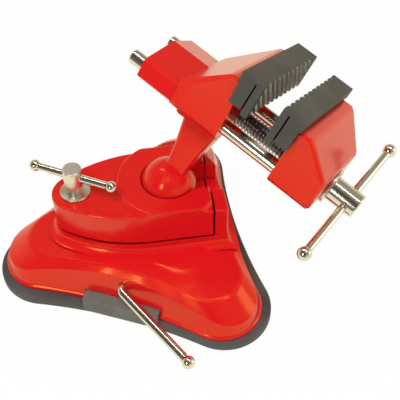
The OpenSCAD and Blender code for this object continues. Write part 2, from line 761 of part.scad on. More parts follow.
module fixed_body() color(paint) {
    at_head() difference() {
        union() {
            sphere(r = ball_r, $fn = 128);
            stem();
            translate([0, 0, screw_h]) {
                along_x(-house_back, flare_back + 4) house_section();
                fixed_flare();
                jaw_nose(jaw_face - front_t - 0.2, cast_face - 1, grip_low + 1,
                    jaw_rise - top_t - 0.2);
                // belly over the stem
                translate([0, 0, -belly_low]) linear_extrude(height = belly_low)
                    translate([(flare_back + cast_face) / 2 + 1, 0])
                        round_rect(cast_face - flare_back - 3, 2 * house_w - 9, 3);
            }
        }
        translate([0, 0, screw_h]) {
            for (side = [-1, 1])
                translate([0, side * rod_y, 0])
                    rod_x(rod_d / 2 + run_fit, -house_back - 1, cast_face + 1);
            rod_x(screw_d / 2 + 0.5, -house_back - 1, cast_face + 1);
            rod_x(nut_d / 2 + run_fit, cast_face - nut_len, cast_face + 1);
            // hollow in the face under the pad
            translate([cast_face - 3, 0, 0]) along_x(0, 4)
                translate([0, (grip_low - 1 + screw_d / 2) / 2 + 2])
                    round_rect(2 * (rod_y + 4), grip_low - 3 - screw_d / 2, 1.5);
        }
    }
}

// Slip-on jaw pad: ridged front, top plate and a clip at each end, front face at X = 0
module jaw_cap() {
    clip_back = cap_deep - 1;
    half = jaw_w / 2;
    clip_top = jaw_rise - 1.8;
    clip_low = grip_low + 2;
    difference() {
        union() {
            translate([-front_t, -half, grip_low]) cube([front_t, jaw_w, grip_h]);
            translate([-cap_deep, -half, jaw_rise - top_t]) cube([cap_deep, jaw_w, top_t]);
            for (side = [-1, 1])
                translate([-clip_back, side * (half - 1.6) - 1.6, clip_low])
                    cube([clip_back - front_t - slit_w, 3.2, clip_top - clip_low]);
        }
        // slanted grooves between the gripping ridges
        intersection() {
            translate([-front_t, -half + ridge_border, grip_low - 1])
                cube([2 * front_t, jaw_w - 2 * ridge_border, grip_h + 2]);
            for (i = [-10 : 10])
                translate([0, i * tooth_pitch, jaw_rise]) rotate([90 - tooth_slope, 0, 0])
                    translate([0, 0, -jaw_w]) linear_extrude(height = 2 * jaw_w)
                        polygon([
                            [1, -groove_w], [0, -groove_w / 2],
                            [-tooth_depth, -groove_w / 6], [-tooth_depth, groove_w / 6],
                            [0, groove_w / 2], [1, groove_w]
                        ]);
        }
        // slit beside each clip, cut up into the top plate
        for (side = [-1, 1])
            translate([-front_t - slit_w, side * half - 4, grip_low - 1])
                cube([slit_w, 8, clip_top - grip_low + 1]);
    }
}

module fixed_jaw_pad() color(dark_steel) {
    at_head() translate([jaw_face, 0, screw_h]) jaw_cap();
}

// Nut with a flange, let into the fixed jaw
module screw_nut() color(brass) {
    at_head() translate([0, 0, screw_h]) difference() {
        rod_x(nut_d / 2, cast_face - nut_len + 0.2, cast_face - 0.2);
        rod_x(screw_d / 2 + run_fit, -20, cast_face + 1);
    }
}

module moving_jaw() color(paint) {
    top = cast_top - pad_drop;
    at_head() translate([0, 0, screw_h]) difference() {
        union() {
            intersection() {
                along_x(moving_cast, outer_face) jaw_section(top);
                across_jaw(2 * cast_top_w + 2) polygon([
                    [moving_cast, -cast_low], [outer_face - 1.6, -cast_low],
                    [outer_face, -cast_low + 1.6], [outer_face, break_h - 1],
                    [outer_face - 0.8, break_h + 0.6],
                    [moving_cast + moving_top + 0.8, top - 0.8],
                    [moving_cast + moving_top - 0.6, top], [moving_cast, top]
                ]);
            }
            jaw_nose(moving_cast + 1, moving_face + front_t + 0.2, grip_low + 1 - pad_drop,
                jaw_rise - top_t - 0.2 - pad_drop);
        }
        for (side = [-1, 1])
            translate([0, side * rod_y, 0]) {
                rod_x(rod_d / 2 + run_fit, moving_cast - 1, outer_face - 3);
                // tapped hole of the grub screw
                translate([moving_cast + moving_foot / 2, 0, -cast_low - 1])
                    cylinder(h = cast_low + 1, r = 2 + run_fit, $fn = 32);
            }
        rod_x(screw_d / 2 + run_fit, moving_cast - 1, outer_face + 1);
    }
}

module moving_jaw_pad() color(dark_steel) {
    at_head() translate([moving_face, 0, screw_h - pad_drop]) mirror([1, 0, 0]) jaw_cap();
}

rod_end = outer_face - 3.4;

module guide_rods() color(steel) {
    at_head() translate([0, 0, screw_h])
        for (side = [-1, 1])
            translate([0, side * rod_y, 0]) {
                rod_x(rod_d / 2, rod_end - rod_len + 0.8, rod_end);
                translate([rod_end - rod_len + 0.8, 0, 0]) rotate([0, -90, 0])
                    cylinder(h = 0.8, r1 = rod_d / 2, r2 = rod_d / 2 - 0.8, $fn = 64);
            }
}

// Grub screws that hold the rods in the moving jaw
module rod_screws() color(dark_steel) {
    at_head() translate([moving_cast + moving_foot / 2, 0, screw_h])
        for (side = [-1, 1])
            translate([0, side * rod_y, -cast_low + 0.2]) difference() {
                cylinder(h = cast_low - rod_d / 2 - 0.25, r = 2, $fn = 32);
                translate([0, 0, -1]) cylinder(h = 2, r = 1, $fn = 6);
            }
}

module thrust_washer() color(steel) {
    at_head() translate([0, 0, screw_h]) difference() {
        rod_x(thrust_d / 2, outer_face, outer_face + thrust_t, 96);
        rod_x(screw_d / 2 + 0.2, outer_face - 1, outer_face + thrust_t + 1);
    }
}

screw_tip = -house_back + 0.5;
head_start = outer_face + thrust_t + run_fit;
bar_x = head_start + 10;

// Main screw with a turned head that is drilled for the bar
module main_screw() color(steel) {
    at_head() translate([0, 0, screw_h]) difference() {
        union() {
            rod_x(screw_d / 2, screw_tip, head_start + 1);
            translate([head_start, 0, 0]) rotate([0, 90, 0]) rotate_extrude($fn = 96) polygon([
                [0, 0], [head_d / 2 - 0.4, 0], [head_d / 2, 0.4], [head_d / 2, head_len - 0.8],
                [head_d / 2 - 0.8, head_len], [0, head_len]
            ]);
        }
        // groove of the collar
        translate([moving_cast - 3.4, 0, 0]) rotate([0, 90, 0]) difference() {
            cylinder(h = 1.6, r = screw_d, $fn = 48);
            translate([0, 0, -1]) cylinder(h = 4, r = screw_d / 2 - 0.8, $fn = 64);
        }
        translate([bar_x, 0, 0]) rotate([bar_turn, 0, 0]) rotate([0, 0, 90])
            rod_x(bar_d / 2 + run_fit, -20, 20);
    }
}

// Snap ring in the screw's groove that draws the moving jaw back
module screw_collar() color(steel) {
    at_head() translate([moving_cast - 3.3, 0, screw_h]) rotate([0, 90, 0]) difference() {
        cylinder(h = 1.4, r = screw_d / 2 + 2.2, $fn = 64);
        translate([0, 0, -1]) cylinder(h = 4, r = screw_d / 2 - 0.8 + run_fit, $fn = 64);
        translate([0, -screw_d / 4, -1]) cube([screw_d, screw_d / 2, 4]);
    }
}

module collar_washer() color(brass) {
    at_head() translate([moving_cast - 1.7, 0, screw_h]) rotate([0, 90, 0]) difference() {
        cylinder(h = 1.5, r = screw_d / 2 + 3.2, $fn = 64);
        translate([0, 0, -1]) cylinder(h = 4, r = screw_d / 2 + 0.15, $fn = 64);
    }
}

module at_handle() {
    at_head() translate([bar_x, 0, screw_h]) rotate([bar_turn, 0, 0]) rotate([0, 0, 90]) children();
}

module handle_bar() color(steel) {
    reach = bar_len / 2 - bar_ball_d * 0.42;
    at_handle() rod_x(bar_d / 2, -reach, reach);
}

module handle_bar_ends() color(steel) {
    reach = bar_len / 2 - bar_ball_d * 0.42;
    at_handle() difference() {
        bar_balls(bar_len, bar_ball_d);
        rod_x(bar_d / 2, -reach, reach);
    }
}

base_casting();
suction_pad();
lift_plate();
lift_yoke();
lever_rod();
lever_ball();
eccentric_cam();
cam_pin();
shaft_clip();
ball_seat();
clamp_plate();
clamp_washer();
clamp_screw();
clamp_bar();
clamp_bar_ends();
fixed_body();
fixed_jaw_pad();
screw_nut();
moving_jaw();
moving_jaw_pad();
guide_rods();
rod_screws();
thrust_washer();
main_screw();
screw_collar();
collar_washer();
handle_bar();
handle_bar_ends();
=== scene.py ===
import bpy, bmesh, math
from mathutils import Matrix, Vector


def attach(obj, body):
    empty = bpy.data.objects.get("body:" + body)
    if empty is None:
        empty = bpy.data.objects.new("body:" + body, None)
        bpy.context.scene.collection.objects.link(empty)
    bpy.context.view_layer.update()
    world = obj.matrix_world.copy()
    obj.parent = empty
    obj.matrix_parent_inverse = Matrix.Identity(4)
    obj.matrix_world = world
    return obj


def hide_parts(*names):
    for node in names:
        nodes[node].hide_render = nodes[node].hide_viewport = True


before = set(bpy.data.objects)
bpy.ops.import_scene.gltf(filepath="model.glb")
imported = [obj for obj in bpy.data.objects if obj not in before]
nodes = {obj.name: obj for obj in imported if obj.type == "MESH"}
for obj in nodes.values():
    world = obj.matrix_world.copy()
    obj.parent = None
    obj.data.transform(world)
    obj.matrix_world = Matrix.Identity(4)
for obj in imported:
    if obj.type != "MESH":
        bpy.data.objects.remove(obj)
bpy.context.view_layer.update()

scene = bpy.context.scene
mm = 0.001
print("frame loaded:", len(nodes), "nodes")

# places that the pieces share, in millimetres and degrees
place = {
    "plateHeading": 25, "ball": (10.876, 5.071, 55.0), "ballAlong": 12, "lean": 29, "leanHeading": 37.4,
    "headTurn": -54.3, "screwUp": 59.8, "screwFace": 71.3, "barTurn": 30, "clampReach": 39, "plateTop": 57,
    "clampBarHeading": -4.4, "clampBarUp": 12.4, "barOut": 11.65, "ribAt": (33.8, 0, 53.4),
    "shaftUp": 22, "leverDroop": 12,
}


def turned(axis, degrees):
    return Matrix.Rotation(math.radians(degrees), 4, axis)


def moved(x, y, z):
    return Matrix.Translation((x, y, z))


world = Matrix.Identity(4)
upright = turned("Y", -90)  # stands a lathe profile up, so that its X runs along Z
plateFrame = turned("Z", place["plateHeading"])
ballFrame = plateFrame @ moved(place["ballAlong"], 0, 0)
headFrame = (moved(*place["ball"]) @ turned("Z", place["leanHeading"]) @ turned("Y", place["lean"])
             @ turned("Z", place["headTurn"]))
screwFrame = headFrame @ moved(0, 0, place["screwUp"])
handleFrame = (headFrame @ moved(place["screwFace"] + place["barOut"], 0, place["screwUp"])
               @ turned("X", place["barTurn"]) @ turned("Z", 90))
clampFrame = (plateFrame @ moved(-place["clampReach"], 0, place["plateTop"])
              @ turned("Z", place["clampBarHeading"] - place["plateHeading"]))
leverFrame = moved(0, 0, place["shaftUp"]) @ turned("Y", place["leverDroop"]) @ turned("Z", -90)
ribFrame = moved(*place["ribAt"]) @ turned("Z", 90)  # along the heel rib, in the plate's frame


def addCamera():
    # the photograph's own view, from about 49 degrees up
    right, up, back = (0.9596, 0.2815, 0), (-0.2114, 0.7206, 0.6604), (0.1859, -0.6337, 0.7509)
    camData = bpy.data.cameras.new("benchCamera")
    camData.lens, camData.sensor_width = 72, 36
    camData.clip_start, camData.clip_end = 0.02, 20
    cam = bpy.data.objects.new("benchCamera", camData)
    scene.collection.objects.link(cam)
    cam.matrix_world = moved(0.11145, -0.27629, 0.38059) @ Matrix((right, up, back)).transposed().to_4x4()
    scene.camera = cam


addCamera()


def newGroup(name, inputs, outputs):
    tree = bpy.data.node_groups.new(name, "ShaderNodeTree")
    for label, kind, value in inputs:
        sock = tree.interface.new_socket(name=label, in_out="INPUT", socket_type=kind)
        sock.default_value = value
    for label, kind in outputs:
        tree.interface.new_socket(name=label, in_out="OUTPUT", socket_type=kind)
    return tree, tree.nodes.new("NodeGroupInput"), tree.nodes.new("NodeGroupOutput")


def addNode(tree, kind, links=None, **settings):
    node = tree.nodes.new(kind)
    for key, value in settings.items():
        setattr(node, key, value)
    for sock, source in (links or {}).items():
        if isinstance(source, bpy.types.NodeSocket):
            tree.links.new(source, node.inputs[sock])
        else:
            node.inputs[sock].default_value = source
    return node


def mapRange(tree, value, low, high, newLow=0.0, newHigh=1.0):
    return addNode(tree, "ShaderNodeMapRange", {0: value, 1: low, 2: high, 3: newLow, 4: newHigh}).outputs[0]


def mathNode(tree, how, first, second=0.5):
    return addNode(tree, "ShaderNodeMath", {0: first, 1: second}, operation=how).outputs[0]


def blotchGroup():
    # slow cloudy change of tone over a surface
    tree, src, out = newGroup("blotch", [("Scale", "NodeSocketFloat", 40.0), ("Amount", "NodeSocketFloat", 0.3)],
                              [("Mask", "NodeSocketFloat")])
    where = addNode(tree, "ShaderNodeTexCoord").outputs["Object"]
    clouds = addNode(tree, "ShaderNodeTexNoise", {"Vector": where, "Scale": src.outputs["Scale"], "Detail": 4.0})
    tree.links.new(mathNode(tree, "MULTIPLY", mapRange(tree, clouds.outputs[0], 0.35, 0.65),
                            src.outputs["Amount"]), out.inputs["Mask"])
    return tree


def grainGroup():
    # fine even bumps: orange peel, moulded rubber, blasted metal
    tree, src, out = newGroup("grain", [("Size", "NodeSocketFloat", 900.0), ("Depth", "NodeSocketFloat", 1.0)],
                              [("Height", "NodeSocketFloat")])
    where = addNode(tree, "ShaderNodeTexCoord").outputs["Object"]
    fine = addNode(tree, "ShaderNodeTexNoise", {"Vector": where, "Scale": src.outputs["Size"], "Detail": 2.0})
    tree.links.new(mathNode(tree, "MULTIPLY", fine.outputs[0], src.outputs["Depth"]), out.inputs["Height"])
    return tree


def edgeWearGroup():
    # bright where an edge sticks out, broken up by a noise
    tree, src, out = newGroup("edgeWear", [("Start", "NodeSocketFloat", 0.56),
                                           ("Patchiness", "NodeSocketFloat", 0.5)], [("Mask", "NodeSocketFloat")])
    geo = addNode(tree, "ShaderNodeNewGeometry").outputs["Pointiness"]
    where = addNode(tree, "ShaderNodeTexCoord").outputs["Object"]
    patches = addNode(tree, "ShaderNodeTexNoise", {"Vector": where, "Scale": 260.0, "Detail": 6.0}).outputs[0]
    edge = addNode(tree, "ShaderNodeMapRange", {0: geo, 1: src.outputs["Start"], 2: 0.75, 3: 0.0, 4: 1.0}).outputs[0]
    broken = mathNode(tree, "SUBTRACT", mapRange(tree, patches, 0.3, 0.7), src.outputs["Patchiness"])
    tree.links.new(addNode(tree, "ShaderNodeMath", {0: edge, 1: broken}, operation="MULTIPLY",
                           use_clamp=True).outputs[0], out.inputs["Mask"])
    return tree


def scratchGroup():
    # short fine scratches from stretched noise
    tree, src, out = newGroup("scratches", [("Scale", "NodeSocketFloat", 700.0), ("Share", "NodeSocketFloat", 0.2)],
                              [("Mask", "NodeSocketFloat")])
    where = addNode(tree, "ShaderNodeTexCoord").outputs["Object"]
    squeezed = addNode(tree, "ShaderNodeMapping", {"Vector": where, "Rotation": (0.4, 0.7, 0.2),
                                                   "Scale": (1.0, 0.08, 0.5)}).outputs[0]
    lines = addNode(tree, "ShaderNodeTexNoise", {"Vector": squeezed, "Scale": src.outputs["Scale"],
                                                 "Detail": 3.0}).outputs[0]
    tree.links.new(mathNode(tree, "MULTIPLY", mapRange(tree, lines, 0.56, 0.72), src.outputs["Share"]),
                   out.inputs["Mask"])
    return tree


def paintedGapShadeGroup():
    # painted shade: ambient occlusion darkens the colour where two pieces meet or a corner is closed in
    tree, src, out = newGroup("paintedGapShade", [("Reach", "NodeSocketFloat", 0.003), ("Amount", "NodeSocketFloat", 0.6)],
                              [("Mask", "NodeSocketFloat")])
    openness = addNode(tree, "ShaderNodeAmbientOcclusion", {"Distance": src.outputs["Reach"]},
                       samples=6).outputs["AO"]
    closed = mapRange(tree, openness, 0.72, 0.25)
    tree.links.new(mathNode(tree, "MULTIPLY", closed, src.outputs["Amount"]), out.inputs["Mask"])
    return tree


blotch, grain, edgeWear, scratches = blotchGroup(), grainGroup(), edgeWearGroup(), scratchGroup()
paintedGapShade = paintedGapShadeGroup()


def placeGroup(tree, group, **values):
    node = addNode(tree, "ShaderNodeGroup", node_tree=group)
    for key, value in values.items():
        node.inputs[key].default_value = value
    return node.outputs[0]


def mixColour(tree, mask, first, second):
    node = tree.nodes.new("ShaderNodeMix")
    node.data_type = "RGBA"
    for sock, value in (("Factor_Float", mask), ("A_Color", first), ("B_Color", second)):
        target = next(s for s in node.inputs if s.identifier == sock)
        if isinstance(value, bpy.types.NodeSocket):
            tree.links.new(value, target)
        else:
            target.default_value = value
    return next(s for s in node.outputs if s.identifier == "Result_Color")


def rgb(red, green, blue):
    return (red, green, blue, 1.0)


def finish(name, look):
    # one Principled shader; the groups change its colour, roughness and bump over the surface
    mat = bpy.data.materials.new(name)
    mat.use_nodes = True
    tree = mat.node_tree
    shader = tree.nodes["Principled BSDF"]
    tone = placeGroup(tree, blotch, Scale=look["cloudSize"], Amount=look["cloudAmount"])
    colour = mixColour(tree, tone, rgb(*look["colour"]), rgb(*look["second"]))
    worn = placeGroup(tree, edgeWear, Start=look["wearStart"], Patchiness=look["wearGaps"])
    colour = mixColour(tree, worn, colour, rgb(*look["wornColour"]))
    # painted shade: the colour goes dark in gaps and closed-in corners, by ambient occlusion
    if "gapShadeReach" in look:
        shadeMask = placeGroup(tree, paintedGapShade, Reach=look["gapShadeReach"] * mm, Amount=look["gapShadeAmount"])
        colour = mixColour(tree, shadeMask, colour, rgb(*look["gapShadeColour"]))
    tree.links.new(colour, shader.inputs["Base Color"])
    marks = placeGroup(tree, scratches, Scale=look["scratchSize"], Share=look["scratchShare"])
    rough = addNode(tree, "ShaderNodeMath", {0: marks, 1: look["roughness"]}, operation="ADD").outputs[0]
    rough = addNode(tree, "ShaderNodeMath", {0: tone, 1: look["roughSwing"], 2: rough},
                    operation="MULTIPLY_ADD").outputs[0]
    tree.links.new(rough, shader.inputs["Roughness"])
    height = placeGroup(tree, grain, Size=look["grainSize"], Depth=1.0)
    bump = addNode(tree, "ShaderNodeBump", {"Height": height, "Strength": look["grainStrength"], "Distance": 0.0002})
    tree.links.new(bump.outputs[0], shader.inputs["Normal"])
    for sock, value in look["plain"].items():
        shader.inputs[sock].default_value = value
    return mat


# the paint has no bare edges, so its worn colour is its own
redPaint = finish("redPaint", {
    "colour": (0.74, 0.009, 0.015), "second": (0.69, 0.008, 0.012), "cloudSize": 12.0, "cloudAmount": 0.4,
    "wornColour": (0.74, 0.009, 0.015), "wearStart": 0.6, "wearGaps": 0.2,
    "scratchSize": 420.0, "scratchShare": 0.03, "roughness": 0.16, "roughSwing": 0.02,
    "grainSize": 330.0, "grainStrength": 0.02,
    # painted shade in the gaps and closed-in corners, darkening the red nearly to black
    "gapShadeReach": 4.0, "gapShadeAmount": 0.9, "gapShadeColour": (0.06, 0.002, 0.003),
    "plain": {"Coat Weight": 0.04, "Coat Roughness": 0.05, "IOR": 1.45, "Specular IOR Level": 0.95,
              "Specular Tint": (1.0, 0.52, 0.10, 1.0)},
})
nickel = finish("nickelPlate", {
    "colour": (0.80, 0.77, 0.71), "second": (0.68, 0.65, 0.59), "cloudSize": 60.0, "cloudAmount": 0.5,
    "wornColour": (0.9, 0.88, 0.84), "wearStart": 0.56, "wearGaps": 0.2,
    "scratchSize": 900.0, "scratchShare": 0.10, "roughness": 0.11, "roughSwing": 0.06,
    "grainSize": 1500.0, "grainStrength": 0.03, "plain": {"Metallic": 1.0},
})
satinNickel = finish("satinNickel", {
    "colour": (0.86, 0.83, 0.77), "second": (0.74, 0.71, 0.66), "cloudSize": 150.0, "cloudAmount": 0.6,
    "wornColour": (0.9, 0.88, 0.84), "wearStart": 0.55, "wearGaps": 0.2,
    "scratchSize": 1000.0, "scratchShare": 0.12, "roughness": 0.3, "roughSwing": 0.08,
    "grainSize": 1800.0, "grainStrength": 0.06, "plain": {"Metallic": 1.0},
})
zincSteel = finish("zincSteel", {
    "colour": (0.62, 0.62, 0.60), "second": (0.48, 0.48, 0.47), "cloudSize": 110.0, "cloudAmount": 0.6,
    "wornColour": (0.78, 0.78, 0.76), "wearStart": 0.55, "wearGaps": 0.3,
    "scratchSize": 800.0, "scratchShare": 0.2, "roughness": 0.26, "roughSwing": 0.12,
    "grainSize": 1200.0, "grainStrength": 0.1, "plain": {"Metallic": 1.0},
})
darkSteel = finish("darkSteel", {
    "colour": (0.11, 0.11, 0.12), "second": (0.06, 0.06, 0.065), "cloudSize": 120.0, "cloudAmount": 0.6,
    "wornColour": (0.42, 0.42, 0.42), "wearStart": 0.54, "wearGaps": 0.3,
    "scratchSize": 800.0, "scratchShare": 0.2, "roughness": 0.3, "roughSwing": 0.15,
    "grainSize": 1300.0, "grainStrength": 0.1, "plain": {"Metallic": 1.0},
})
brassFinish = finish("turnedBrass", {
    "colour": (0.72, 0.50, 0.20), "second": (0.52, 0.34, 0.13), "cloudSize": 120.0, "cloudAmount": 0.6,
    "wornColour": (0.85, 0.66, 0.34), "wearStart": 0.55, "wearGaps": 0.3,
    "scratchSize": 900.0, "scratchShare": 0.2, "roughness": 0.24, "roughSwing": 0.1,
    "grainSize": 1200.0, "grainStrength": 0.08, "plain": {"Metallic": 1.0},
})
jawRubber = finish("jawRubber", {
    "colour": (0.078, 0.077, 0.070), "second": (0.060, 0.059, 0.054), "cloudSize": 50.0, "cloudAmount": 0.8,
    "wornColour": (0.12, 0.117, 0.107), "wearStart": 0.55, "wearGaps": 0.3,
    "scratchSize": 600.0, "scratchShare": 0.06, "roughness": 0.5, "roughSwing": 0.12,
    # painted shade in the gaps and corners of the jaw pads
    "gapShadeReach": 1.5, "gapShadeAmount": 0.8, "gapShadeColour": (0.02, 0.02, 0.018),
    "grainSize": 1100.0, "grainStrength": 0.12, "plain": {"Specular IOR Level": 0.3},
})
padRubber = finish("padRubber", {
    "colour": (0.058, 0.056, 0.057), "second": (0.100, 0.097, 0.096), "cloudSize": 45.0, "cloudAmount": 0.9,
    "wornColour": (0.17, 0.17, 0.175), "wearStart": 0.55, "wearGaps": 0.25,
    "scratchSize": 500.0, "scratchShare": 0.08, "roughness": 0.5, "roughSwing": 0.12,
    "grainSize": 800.0, "grainStrength": 0.15, "plain": {"Specular IOR Level": 0.4},
})
threadSteel = finish("threadSteel", {
    "colour": (0.30, 0.29, 0.31), "second": (0.18, 0.17, 0.19), "cloudSize": 140.0, "cloudAmount": 0.7,
    "wornColour": (0.7, 0.69, 0.68), "wearStart": 0.53, "wearGaps": 0.1,
    "scratchSize": 900.0, "scratchShare": 0.15, "roughness": 0.22, "roughSwing": 0.1,
    "grainSize": 1500.0, "grainStrength": 0.05, "plain": {"Metallic": 1.0},
})
# painted highlight for the ridge flanks: a pale copy of the jaw rubber
ridgeHighlightRubber = finish("ridgeHighlightRubber", {
    "colour": (0.72, 0.70, 0.65), "second": (0.50, 0.49, 0.46), "cloudSize": 220.0, "cloudAmount": 0.9,
    "wornColour": (0.56, 0.55, 0.5), "wearStart": 0.56, "wearGaps": 0.3,
    "scratchSize": 600.0, "scratchShare": 0.1, "roughness": 0.5, "roughSwing": 0.1,
    "grainSize": 1100.0, "grainStrength": 0.1, "plain": {"Specular IOR Level": 0.4},
})
tabRubber = finish("tabRubber", {
    "colour": (0.165, 0.167, 0.155), "second": (0.125, 0.127, 0.12), "cloudSize": 160.0, "cloudAmount": 0.7,
    "wornColour": (0.21, 0.21, 0.20), "wearStart": 0.55, "wearGaps": 0.25,
    "scratchSize": 500.0, "scratchShare": 0.12, "roughness": 0.6, "roughSwing": 0.12,
    "grainSize": 700.0, "grainStrength": 0.2, "plain": {"Specular IOR Level": 0.35},
})
print("finishes made:", len(bpy.data.materials))


# mesh helpers, all in millimetres in the piece's own frame

def addPiece(name, bm, where, body, material, stands, smooth=40):
    bmesh.ops.recalc_face_normals(bm, faces=bm.faces)
    bmesh.ops.transform(bm, matrix=Matrix.Scale(mm, 4) @ where, verts=bm.verts)
    mesh = bpy.data.meshes.new(name)
    bm.to_mesh(mesh)
    bm.free()
    mesh.polygons.foreach_set("use_smooth", [True] * len(mesh.polygons))
    mesh.set_sharp_from_angle(angle=math.radians(smooth))
    mesh.materials.append(material)
    piece = bpy.data.objects.new(name, mesh)
    scene.collection.objects.link(piece)
    weigh = piece.modifiers.new("faceWeights", "WEIGHTED_NORMAL")  # keeps flat faces flat beside rounded edges
    weigh.keep_sharp, weigh.weight = True, 60
    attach(piece, body)
    if stands:
        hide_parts(*stands)
    return piece


def joined(bm, others):
    # takes the other meshes into this one as they are
    for other in others:
        mesh = bpy.data.meshes.new("joining")
        other.to_mesh(mesh)
        other.free()
        bm.from_mesh(mesh)
        bpy.data.meshes.remove(mesh)
    return bm


def put(bm, where):
    bmesh.ops.transform(bm, matrix=where, verts=bm.verts)
    return bm


def eased(points, cuts, steps=5):
    # replaces each inner corner of a polyline by a curve that starts and ends the given cut away
    made = [Vector(points[0])]
    for i in range(1, len(points) - 1):
        before, here, after = Vector(points[i - 1]), Vector(points[i]), Vector(points[i + 1])
        cut = cuts[i - 1] if isinstance(cuts, (list, tuple)) else cuts
        if cut <= 0:
            made.append(here)
            continue
        back, on = before - here, after - here
        start = here + back * min(cut / back.length, 0.49)
        end = here + on * min(cut / on.length, 0.49)
        for k in range(steps + 1):
            t = k / steps
            made.append(start * (1 - t) ** 2 + here * 2 * t * (1 - t) + end * t * t)
    made.append(Vector(points[-1]))
    return made


def easedLoop(points, cuts, steps=4):
    # the same for a closed outline; a cut of 0 keeps its corner
    count = len(points)
    made = []
    for i in range(count):
        part = eased([points[i - 1], points[i], points[(i + 1) % count]], [cuts[i]], steps)
        made += part[1:-1]
    return made


def loft(bm, rings):
    # closed skin through rings that all have the same number of points
    made = [[bm.verts.new(p) for p in ring] for ring in rings]
    count = len(made[0])
    for low, high in zip(made, made[1:]):
        for i in range(count):
            j = (i + 1) % count
            bm.faces.new((low[i], low[j], high[j], high[i]))
    bm.faces.new(list(reversed(made[0])))
    bm.faces.new(made[-1])
    return bm


def lathe(bm, profile, steps=96):
    # profile is (along X, radius); it is spun about X
    rings = []
    for x, r in profile:
        if r < 1e-6:
            rings.append([bm.verts.new((x, 0, 0))])
        else:
            turns = (2 * math.pi * k / steps for k in range(steps))
            rings.append([bm.verts.new((x, r * math.cos(a), r * math.sin(a))) for a in turns])
    for a, b in zip(rings, rings[1:]):
        for k in range(steps):
            j = (k + 1) % steps
            if len(a) == 1 and len(b) > 1:
                bm.faces.new((a[0], b[j], b[k]))
            elif len(b) == 1 and len(a) > 1:
                bm.faces.new((a[k], a[j], b[0]))
            elif len(a) > 1:
                bm.faces.new((a[k], a[j], b[j], b[k]))
    return bm


def turnedRing(inner, outer, thick, edge, steps=96):
    # flat washer with eased edges, lying along X from 0
    profile = easedLoop([Vector(p) for p in ((0, inner), (0, outer), (thick, outer), (thick, inner))], [edge] * 4, 3)
    bm = lathe(bmesh.new(), [tuple(p) for p in profile] + [tuple(profile[0])], steps)
    bmesh.ops.remove_doubles(bm, verts=bm.verts, dist=1e-4)
    return bm


def drill(radius, low, high, steps=64):
    # round cutter along X
    return lathe(bmesh.new(), [(low, 0), (low, radius), (high, radius), (high, 0)], steps)


def block(low, high):
    bm = bmesh.new()
    bmesh.ops.create_cube(bm, size=1)
    bmesh.ops.scale(bm, vec=Vector(high) - Vector(low), verts=bm.verts)
    bmesh.ops.translate(bm, vec=(Vector(high) + Vector(low)) / 2, verts=bm.verts)
    return bm


def ballProfile(centre, radius, side, neckRadius, steps=20):
    # half circle from the neck to the pole, on the +X or -X side
    start = math.asin(neckRadius / radius)
    out = []
    for k in range(steps + 1):
        a = math.pi - start - (math.pi - start) * k / steps
        out.append((centre + side * radius * math.cos(a), radius * math.sin(a)))
    return out


def holderOf(bm):
    bmesh.ops.recalc_face_normals(bm, faces=bm.faces)
    mesh = bpy.data.meshes.new("working")
    bm.to_mesh(mesh)
    bm.free()
    holder = bpy.data.objects.new("working", mesh)
    scene.collection.objects.link(holder)
    return holder


def settled(holder, tools=()):
    # the mesh with its modifiers applied; the holder and the tools go
    bpy.context.view_layer.update()
    made = bpy.data.meshes.new_from_object(holder.evaluated_get(bpy.context.evaluated_depsgraph_get()))
    for spare in (holder, *tools):
        bpy.data.objects.remove(spare)
    out = bmesh.new()
    out.from_mesh(made)
    bpy.data.meshes.remove(made)
    return out


def carved(bm, steps):
    # exact booleans in turn: (how, tool mesh)
    body, tools = holderOf(bm), []
    for how, tool in steps:
        tools.append(holderOf(tool))
        mod = body.modifiers.new("carve", "BOOLEAN")
        mod.operation, mod.solver, mod.object = how, "EXACT", tools[-1]
    out = settled(body, tools)
    bmesh.ops.remove_doubles(out, verts=out.verts, dist=0.0005)
    return out


def nodeCopy(node, clean=0.6):
    # the node's solid as an editable mesh, in millimetres, with its flat faces joined
    bm = bmesh.new()
    bm.from_mesh(nodes[node].data)
    put(bm, Matrix.Scale(1 / mm, 4))
    bmesh.ops.remove_doubles(bm, verts=bm.verts, dist=0.002)
    bmesh.ops.dissolve_limit(bm, angle_limit=math.radians(clean), verts=bm.verts, edges=bm.edges)
    return bm


def softened(bm, width, angle=28, segments=3):
    # rounds each edge that is sharper than the angle
    holder = holderOf(bm)
    mod = holder.modifiers.new("round", "BEVEL")
    mod.width, mod.segments, mod.limit_method = width, segments, "ANGLE"
    mod.angle_limit = math.radians(angle)
    mod.use_clamp_overlap = True
    mod.miter_outer = "MITER_ARC"
    return settled(holder)


def polar(radius, degrees, centre=(0, 0)):
    a = math.radians(degrees)
    return (centre[0] + radius * math.cos(a), centre[1] + radius * math.sin(a))


